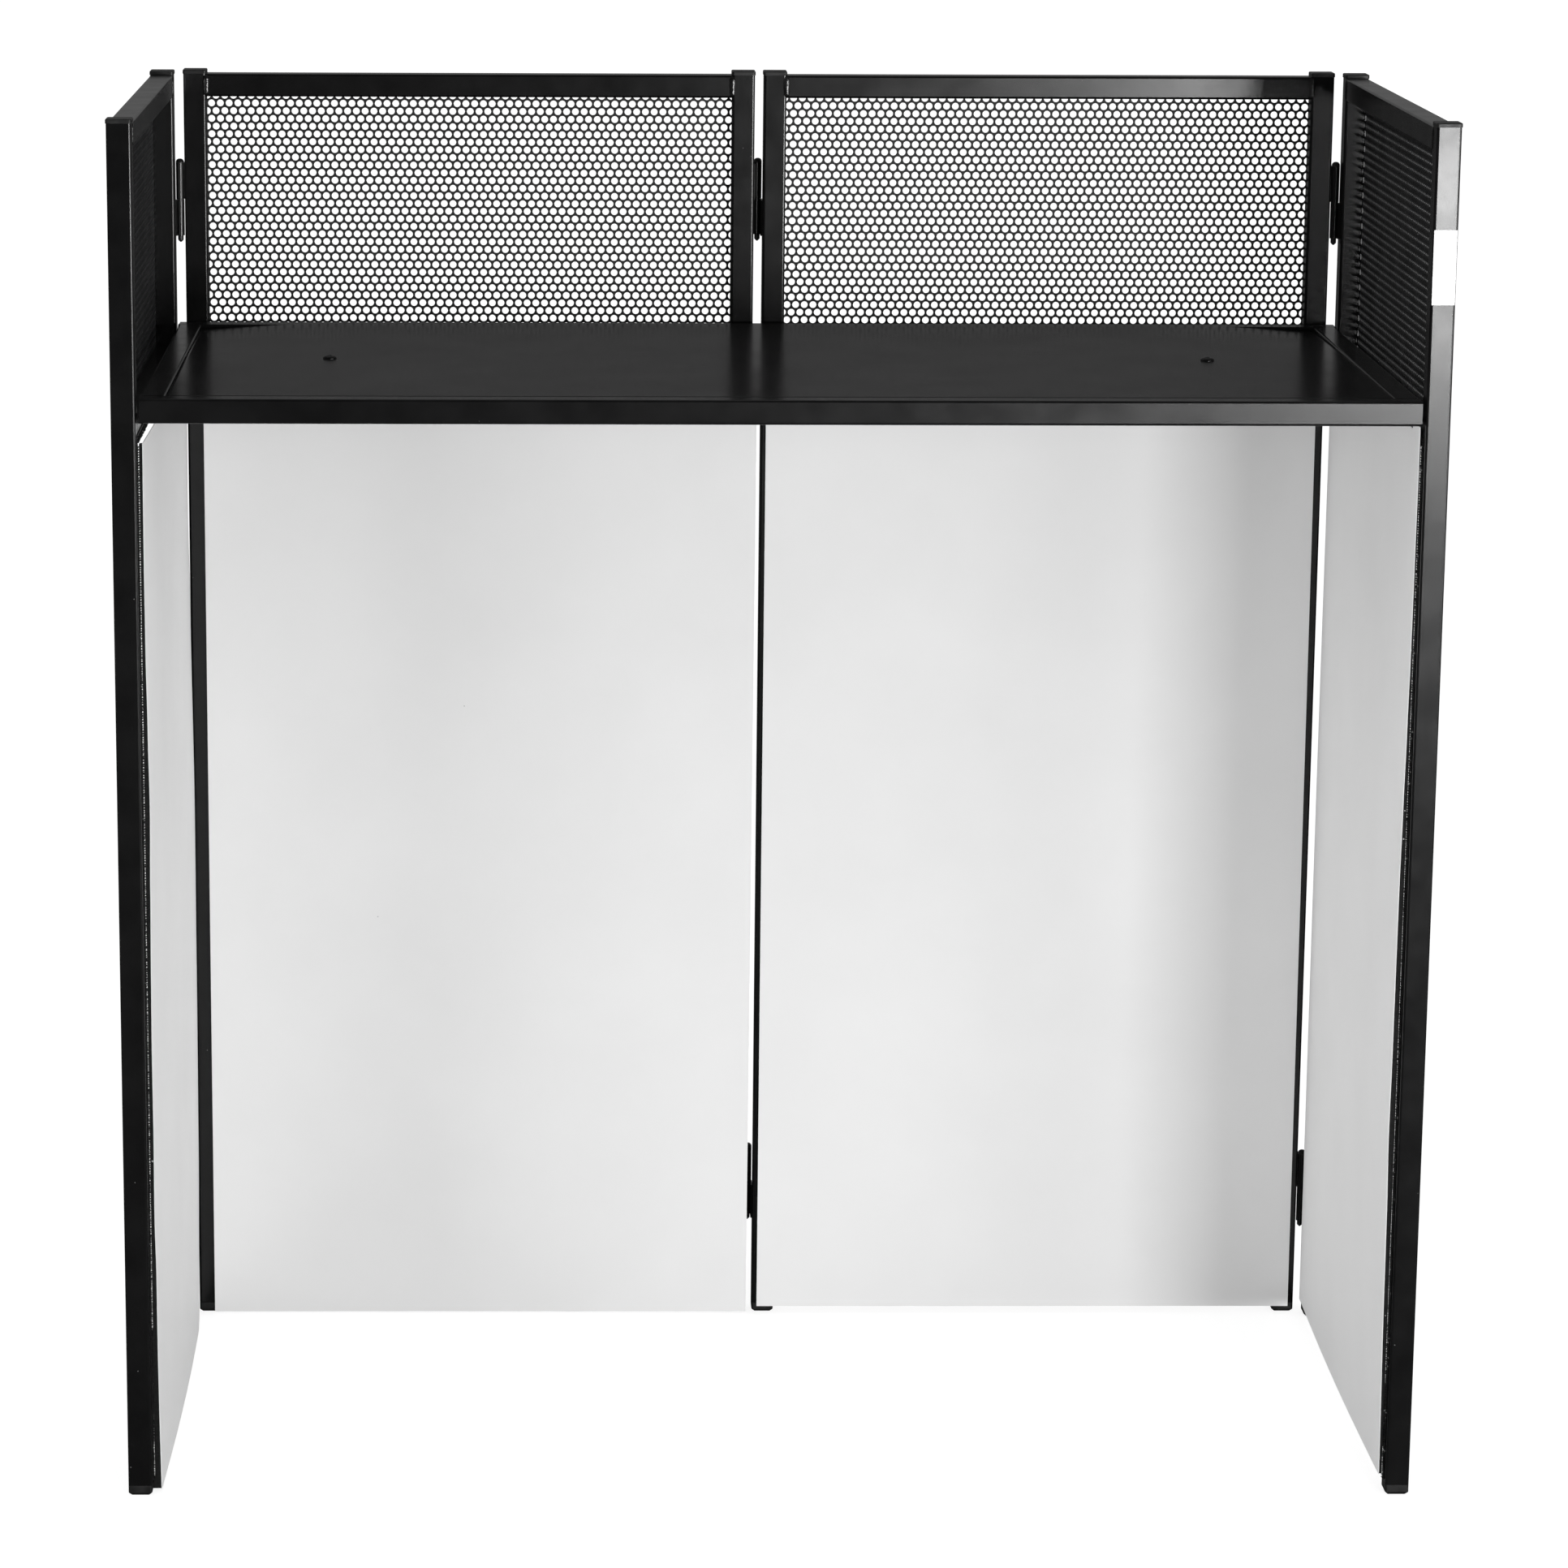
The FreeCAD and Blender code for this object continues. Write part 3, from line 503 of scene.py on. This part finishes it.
stretch_white = white_cloth("stretch_white")
for panel, top_pull, foot_pull in (("left_front", 0.0, 0.002), ("right_front", 0.002, 0.0)):
    low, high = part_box(f"{panel}_sheet")
    width, height = high.x - low.x, high.z - low.z
    cloth = cut_cloth(f"{panel}_cloth", width, height, ())

    def flat_front(across, up, low=low, high=high, width=width, height=height,
                   top=top_pull, foot=foot_pull):
        ease = math.sin(math.pi * across / width) * math.sin(math.pi * up / height)
        wave = noise.noise(Vector((across * 5 + low.x * 9, up * 3.2, 1.7)))
        pull = (foot + (top - foot) * up / height) * across / width
        y = (low.y + high.y) / 2 - FRONT_WAVE * wave - FRONT_BELLY * ease
        return Vector((low.x + across - pull, y, low.z + up))

    hang_cloth(cloth, flat_front)
    cloth.data.materials.append(stretch_white)
    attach(cloth, panel)
    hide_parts(f"{panel}_sheet")

BRACKET_WIDTH, NOTCH_GAP = 0.020, 0.0015
LEFT_NEAR = ((0.89, 0.0018), (0.79, 0.0016), (0.721, 0.0018), (0.655, 0.0026), (0.587, 0.0034),
             (0.52, 0.0027), (0.45, 0.0022), (0.383, 0.0019), (0.314, 0.0022), (0.243, 0.002),
             (0.187, 0.0029), (0.006, 0.0034))
LEFT_FAR = ((0.9, 0.005), (0.756, 0.0045), (0.671, 0.0055), (0.48, 0.007), (0.327, 0.0068), (0.172, 0.0064),
            (0.047, 0.0055), (0.003, 0.005))
RIGHT_NEAR = ((0.893, 0.0001), (0.79, 0.0005), (0.723, 0.0008), (0.656, 0.0015), (0.588, 0.0023),
              (0.519, 0.003), (0.451, 0.0032), (0.381, 0.0034), (0.311, 0.0039), (0.241, 0.003),
              (0.185, 0.0028), (0.006, 0.0014))
RIGHT_FAR = ((0.9, 0.0002), (0.5, 0.0006), (0.003, 0.0003))
LOOP_WIDTH, LOOP_INSET, LOOP_BITE, LOOP_STEPS, LOOP_FUZZ = 0.008, 0.0002, 0.0006, 160, 0.0004
FLARE_HEIGHT, FLARE_END, BELLY_TURN = 0.15, 0.12, 5.2
black_loops = hook_nylon("black_loops", 0.015)


def sew_loops(name, edges, low, high, inward, hang, tape_foot):
    """Strips of black loop tape on a sheet's back, as thick as its space to the hooks or the tube."""
    hooks = (low.x if inward > 0 else high.x) - inward * LOOP_BITE
    tube = tape_foot.x + inward * LOOP_INSET
    strips = []
    for start, end in edges:
        bpy.ops.object.select_all(action="DESELECT")
        bpy.ops.mesh.primitive_cube_add(size=1.0)
        strip = bpy.context.object
        bpy.ops.object.mode_set(mode="EDIT")
        for step in range(1, LOOP_STEPS):
            slice_at((0, 0, step / LOOP_STEPS - 0.5), (0, 0, 1))
        bpy.ops.object.mode_set(mode="OBJECT")
        for vertex in strip.data.vertices:
            z = low.z + (vertex.co.z + 0.5) * (high.z - low.z)
            fuzz = LOOP_FUZZ * noise.noise(Vector((start * 50, vertex.co.x * 3, z * 330)))
            y = start + abs(fuzz) if vertex.co.y < 0 else end - abs(fuzz)
            back = hooks if z > tape_foot.z else tube
            x = back if vertex.co.x * inward < 0 else hang(y, z).x - inward * CLOTH * 0.4
            vertex.co = (x, y, z)
        strips.append(strip)
    loops = join(name, strips)
    face_out()
    bpy.ops.object.shade_smooth_by_angle(angle=math.radians(40))
    loops.data.materials.append(black_loops)
    return loops


for panel, near_table, far_table, belly, flare, trim in (
        ("left_wing", LEFT_NEAR, LEFT_FAR, 0.0024, 0.0028, 0.0),
        ("right_wing", RIGHT_NEAR, RIGHT_FAR, 0.0022, 0.0, 0.0125)):
    low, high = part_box(f"{panel}_sheet")
    low = low + Vector((0, 0, trim))
    width, height = high.y - low.y, high.z - low.z
    near_bracket, far_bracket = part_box(f"{panel}_shelf_brackets")
    notch_foot = near_bracket.z - NOTCH_GAP - low.z
    notch_width = BRACKET_WIDTH + 2 * NOTCH_GAP
    starts = (near_bracket.y - NOTCH_GAP - low.y, far_bracket.y + NOTCH_GAP - notch_width - low.y)
    notches = [(start, start + notch_width, notch_foot) for start in starts if notch_foot < height]
    cloth = cut_cloth(f"{panel}_cloth", width, height, notches)
    inward = 1 if panel == "left_wing" else -1

    def waved_wing(across, up, low=low, high=high, width=width, near=near_table, far=far_table,
                   belly=belly, flare=flare, inward=inward):
        share, z = across / width, low.z + up
        stand = between(near, z) * (1 - share) + between(far, z) * share
        stand += belly * math.sin(math.pi * share) * (0.65 + 0.35 * math.cos(BELLY_TURN * z))
        low_down = max(0.0, 1 - z / FLARE_HEIGHT) ** 2
        stand += flare * low_down * min(1.0, (1 - share) / FLARE_END) * (0.4 + 0.6 * share)
        return Vector(((low.x + high.x) / 2 + inward * stand, low.y + across, z))

    hang_cloth(cloth, waved_wing)
    cloth.data.materials.append(stretch_white)
    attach(cloth, panel)
    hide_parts(f"{panel}_sheet")

    def hang_at(y, z, low=low, waved=waved_wing):
        return waved(y - low.y, z - low.z)

    tape_low, tape_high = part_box(f"{panel}_hook_tape")
    foot = Vector((low.x, 0, low.z + 0.0005))
    head = Vector((high.x, 0, min(high.z, tape_high.z) - 0.001))
    edges = ((low.y + LOOP_INSET, low.y + LOOP_WIDTH), (high.y - LOOP_WIDTH, high.y - LOOP_INSET))
    tape_foot = Vector((tape_low.x if inward > 0 else tape_high.x, 0, tape_low.z))
    loops = sew_loops(f"{panel}_loop_strips", edges, foot, head, inward, hang_at, tape_foot)
    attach(loops, panel)

# Shelf brackets
# Two short flat steel tabs on each wing, welded to the mid rail and coated with it.
# The shelf's side rails lie loose on them, so the shelf lifts straight off.
dress(("left_wing_shelf_brackets", "right_wing_shelf_brackets"), black_powder)

# Shelf frame
# Four 20 mm tubes welded into a rectangle with two flat braces under the board, all powder coated black.
# The weld at each corner is ground on top and left as a small lump on the outer side.
BEAD_PROUD = 0.0006
dress([f"shelf_{side}_rail" for side in ("front", "back", "left", "right")], black_powder)
dress(("shelf_braces",), black_powder)
beads = []
for side, out in (("left", -1), ("right", 1)):
    low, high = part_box(f"shelf_{side}_rail")
    face = low.x if out < 0 else high.x
    for y in (low.y, high.y):
        beads.append(lay_bead((face, y, low.z + BEAD_SHORT), (face, y, high.z + BEAD_PROUD), (out, 0, 0)))
join_beads("shelf_welds", beads, "shelf")

# Shelf board
# Black laminated board, 6 mm, let in between the shelf's rails and screwed down onto the braces.
# It has bowed a little: proud along the middle of its back edge and low at its back corners.
PROUD, SUNK, EDGE_BAND, BOARD_EDGE = 0.0016, 0.0042, 0.002, 0.0007
BOW_START, CELLS_ACROSS, CELLS_ALONG = 0.36, 60, 24
low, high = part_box("shelf_board")
bpy.ops.object.select_all(action="DESELECT")
bpy.ops.mesh.primitive_cube_add(size=1.0)
board = bpy.context.object
board.name = "shelf_bowed_board"
bpy.ops.object.mode_set(mode="EDIT")
bpy.ops.mesh.select_all(action="SELECT")
bpy.ops.transform.resize(value=tuple(high - low), center_override=(0, 0, 0))
bpy.ops.transform.translate(value=tuple((low + high) / 2))
across = [low.x + (high.x - low.x) * step / CELLS_ACROSS for step in range(1, CELLS_ACROSS)]
for x in (low.x + EDGE_BAND, *across, high.x - EDGE_BAND):
    slice_at((x, 0, 0), (1, 0, 0))
along = [low.y + (high.y - low.y) * step / CELLS_ALONG for step in range(1, CELLS_ALONG)]
for y in (low.y + EDGE_BAND, *along, high.y - EDGE_BAND):
    slice_at((0, y, 0), (0, 1, 0))
bpy.ops.object.mode_set(mode="OBJECT")
for vertex in board.data.vertices:
    if vertex.co.z > (low.z + high.z) / 2:
        back = ((vertex.co.y - low.y) / (high.y - low.y)) ** 3
        edge = max(0.0, abs(vertex.co.x) - BOW_START) / (high.x - BOW_START)
        vertex.co.z += back * (PROUD - (PROUD + SUNK) * edge ** 1.7)
rounding = board.modifiers.new("rounding", "BEVEL")
rounding.width = BOARD_EDGE
rounding.segments = 2
rounding.limit_method = "ANGLE"
rounding.angle_limit = math.radians(50)
bpy.ops.object.modifier_apply(modifier="rounding")
bpy.ops.object.shade_smooth_by_angle(angle=math.radians(40))


def black_laminate(name):
    finish, tree, shader = begin_finish(name)
    colour = tint(tree, grain(tree, 12, 4), (0.0035, 0.0035, 0.0036), (0.006, 0.006, 0.0061))
    colour = dust(tree, colour, scale=110, share=0.05, size=0.04, speck=grey(0.2))
    tree.links.new(colour, shader.inputs["Base Color"])
    gloss = level(tree, grain(tree, 14, 3), 0.2, 0.24, 0.25, 0.75)
    tree.links.new(gloss, shader.inputs["Roughness"])
    shader.inputs["Specular IOR Level"].default_value = 0.15
    raise_grain(tree, shader, grain(tree, 900, 2), 0.00003, 0.35)
    return finish


board.data.materials.append(black_laminate("black_laminate"))
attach(board, "shelf")
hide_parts("shelf_board")

# Shelf screws
# Two cold-headed steel screws, blacked, with low domed heads and a cross recess.
# They go down through the board into the braces.
HEAD_RADIUS, HEAD_RISE, HEAD_RIM, BOARD_TOP = 0.0058, 0.003, 0.0008, 0.927
RECESS, RECESS_TURN = (0.0058, 0.0011, 0.0026), 0.4
low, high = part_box("shelf_screws")
screws = []
for x in (low.x + HEAD_RADIUS, high.x - HEAD_RADIUS):
    y = (low.y + high.y) / 2
    bpy.ops.object.select_all(action="DESELECT")
    bpy.ops.mesh.primitive_cylinder_add(vertices=32, radius=HEAD_RADIUS, depth=HEAD_RIM,
                                        location=(x, y, BOARD_TOP + HEAD_RIM / 2))
    screw = bpy.context.object
    bpy.ops.object.transform_apply(location=True, rotation=False, scale=False)
    for face in screw.data.polygons:
        face.select = face.normal.z > 0.9
    bpy.ops.object.mode_set(mode="EDIT")
    bpy.ops.mesh.select_mode(type="FACE")
    reach, rise = HEAD_RADIUS, HEAD_RIM
    for share in (0.94, 0.82, 0.66, 0.46, 0.22):
        height = HEAD_RIM + (HEAD_RISE - HEAD_RIM) * math.sqrt(1 - share * share)
        bpy.ops.mesh.inset(thickness=reach - HEAD_RADIUS * share, depth=0)
        bpy.ops.transform.translate(value=(0, 0, height - rise))
        reach, rise = HEAD_RADIUS * share, height
    bpy.ops.object.mode_set(mode="OBJECT")
    for turn in (RECESS_TURN, RECESS_TURN + math.pi / 2):
        bpy.ops.object.select_all(action="DESELECT")
        bpy.ops.mesh.primitive_cube_add(size=1.0, location=(x, y, BOARD_TOP + HEAD_RISE),
                                        rotation=(0, 0, turn), scale=RECESS)
        slot_cutter = bpy.context.object
        bpy.ops.object.transform_apply(location=True, rotation=True, scale=True)
        cut = screw.modifiers.new("recess", "BOOLEAN")
        cut.operation = "DIFFERENCE"
        cut.solver = "EXACT"
        cut.object = slot_cutter
        bpy.context.view_layer.objects.active = screw
        bpy.ops.object.modifier_apply(modifier="recess")
        bpy.data.objects.remove(slot_cutter)
    screws.append(screw)
screws = join("shelf_cross_screws", screws)
bpy.ops.object.shade_smooth_by_angle(angle=math.radians(35))
screws.data.materials.append(powder_coat("blacked_screw", grey(0.004), grey(0.01), 0.14, 0.2))
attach(screws, "shelf")
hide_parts("shelf_screws")

# Blank label
# A strip of white plastic film, die-cut and stuck on the near end of the right wing's upright.
# It lies flat on the powder coat.
def label_film(name):
    finish, tree, shader = begin_finish(name)
    tree.links.new(tint(tree, grain(tree, 60, 3), grey(0.84), grey(0.9)), shader.inputs["Base Color"])
    tree.links.new(level(tree, grain(tree, 240, 3), 0.35, 0.5), shader.inputs["Roughness"])
    raise_grain(tree, shader, grain(tree, 1600, 2), 0.00003, 0.5)
    return finish


dress(("blank_label",), label_film("white_film"))

# Floor
# A large sheet of white studio paper, laid flat under the booth.
# It reads white in the picture and keeps a faint shadow of the booth.
FLOOR_SIDE = 80.0
bpy.ops.object.select_all(action="DESELECT")
bpy.ops.mesh.primitive_plane_add(size=FLOOR_SIDE)
floor = bpy.context.object
floor.name = "studio_floor"
paper = bpy.data.materials.new("studio_paper")
paper.use_nodes = True
tree = paper.node_tree
tree.nodes.remove(tree.nodes["Principled BSDF"])
matt = tree.nodes.new("ShaderNodeBsdfDiffuse")
glow = tree.nodes.new("ShaderNodeEmission")
both = tree.nodes.new("ShaderNodeAddShader")
tree.links.new(matt.outputs[0], both.inputs[0])
tree.links.new(glow.outputs[0], both.inputs[1])
tree.links.new(both.outputs[0], tree.nodes["Material Output"].inputs["Surface"])


def by_ray(tree, seen, mirrored, lit):
    """One amount for what the camera sees, one for what gloss mirrors and one for what lights the booth."""
    path = tree.nodes.new("ShaderNodeLightPath")
    through = tree.nodes.new("ShaderNodeMath")
    through.operation = "MAXIMUM"
    tree.links.new(path.outputs["Is Camera Ray"], through.inputs[0])
    tree.links.new(path.outputs["Is Transmission Ray"], through.inputs[1])
    gloss, view = tree.nodes.new("ShaderNodeMix"), tree.nodes.new("ShaderNodeMix")
    tree.links.new(path.outputs["Is Glossy Ray"], gloss.inputs[0])
    tree.links.new(through.outputs[0], view.inputs[0])
    tree.links.new(gloss.outputs[0], view.inputs[2])
    for amount, socket in ((lit, gloss.inputs[2]), (mirrored, gloss.inputs[3]), (seen, view.inputs[3])):
        if isinstance(amount, float):
            socket.default_value = amount
        else:
            tree.links.new(amount, socket)
    return view.outputs[0]


tree.links.new(by_ray(tree, seen=0.25, mirrored=0.08, lit=0.3), matt.inputs["Color"])
tree.links.new(by_ray(tree, seen=0.86, mirrored=0.02, lit=0.0), glow.inputs["Strength"])
floor.data.materials.append(paper)

# Studio light
# One softbox behind the right shoulder of the camera, a large soft fill on each side, and light from above.
# Gloss mirrors the pale paper behind the booth and the dim studio in front of it.
world = bpy.data.worlds.new("studio")
bpy.context.scene.world = world
world.use_nodes = True
tree = world.node_tree
place = tree.nodes.new("ShaderNodeTexCoord")
axes = tree.nodes.new("ShaderNodeSeparateXYZ")
tree.links.new(place.outputs["Generated"], axes.inputs[0])
backdrop = level(tree, axes.outputs["Y"], 0.02, 0.2, -0.15, 0.15)
overhead = level(tree, axes.outputs["Z"], 0.15, 1.08, 0.2, 0.9)
sky = by_ray(tree, seen=1.0, mirrored=backdrop, lit=overhead)
tree.links.new(sky, tree.nodes["Background"].inputs["Strength"])
tree.nodes["Background"].inputs["Color"].default_value = (1, 1, 1, 1)


def hang_softbox(name, place, aim, width, height, power, mirrored):
    lamp = bpy.data.lights.new(name, "AREA")
    lamp.shape = "RECTANGLE"
    lamp.size, lamp.size_y, lamp.energy = width, height, power
    softbox = bpy.data.objects.new(name, lamp)
    bpy.context.scene.collection.objects.link(softbox)
    turn = (Vector(aim) - Vector(place)).to_track_quat("-Z", "Y").to_matrix().to_4x4()
    softbox.matrix_world = Matrix.Translation(place) @ turn
    softbox.visible_camera = False
    softbox.visible_glossy = mirrored


hang_softbox("key_softbox", (1.56, -4.56, 0.78), (0.0, 0.24, 0.7), 0.86, 0.7, 84, True)
hang_softbox("left_fill", (-3.5, -3.4, 0.8), (0.2, 0.0, 0.6), 3.0, 1.6, 108, False)
hang_softbox("right_fill", (3.5, -3.4, 0.8), (-0.2, 0.0, 0.6), 3.0, 1.6, 77, True)

# Camera
# It stands where the photograph was taken from: left of the middle, at eye height, looking slightly down.
# The lens is long and shifted a little sideways, which places the booth in the picture.
STAND = Vector((-0.19253, -4.35541, 1.51542))
PITCH_DOWN, YAW, ROLL = 0.216997, 0.0139494, 0.0042619
SENSOR, FOCAL, SHIFT = 36.0, 118.294, 0.11
level_part = math.cos(PITCH_DOWN)
ahead = Vector((math.sin(YAW) * level_part, math.cos(YAW) * level_part, -math.sin(PITCH_DOWN)))
right = Vector((math.cos(YAW), -math.sin(YAW), 0))
up = right.cross(ahead)
right, up = math.cos(ROLL) * right + math.sin(ROLL) * up, math.cos(ROLL) * up - math.sin(ROLL) * right
lens = bpy.data.cameras.new("photo_camera")
lens.sensor_width = SENSOR
lens.lens = FOCAL
lens.shift_x = SHIFT
camera = bpy.data.objects.new("photo_camera", lens)
bpy.context.scene.collection.objects.link(camera)
camera.matrix_world = Matrix.Translation(STAND) @ Matrix((right, up, -ahead)).transposed().to_4x4()
bpy.context.scene.camera = camera
bpy.context.scene.view_settings.view_transform = "Standard"
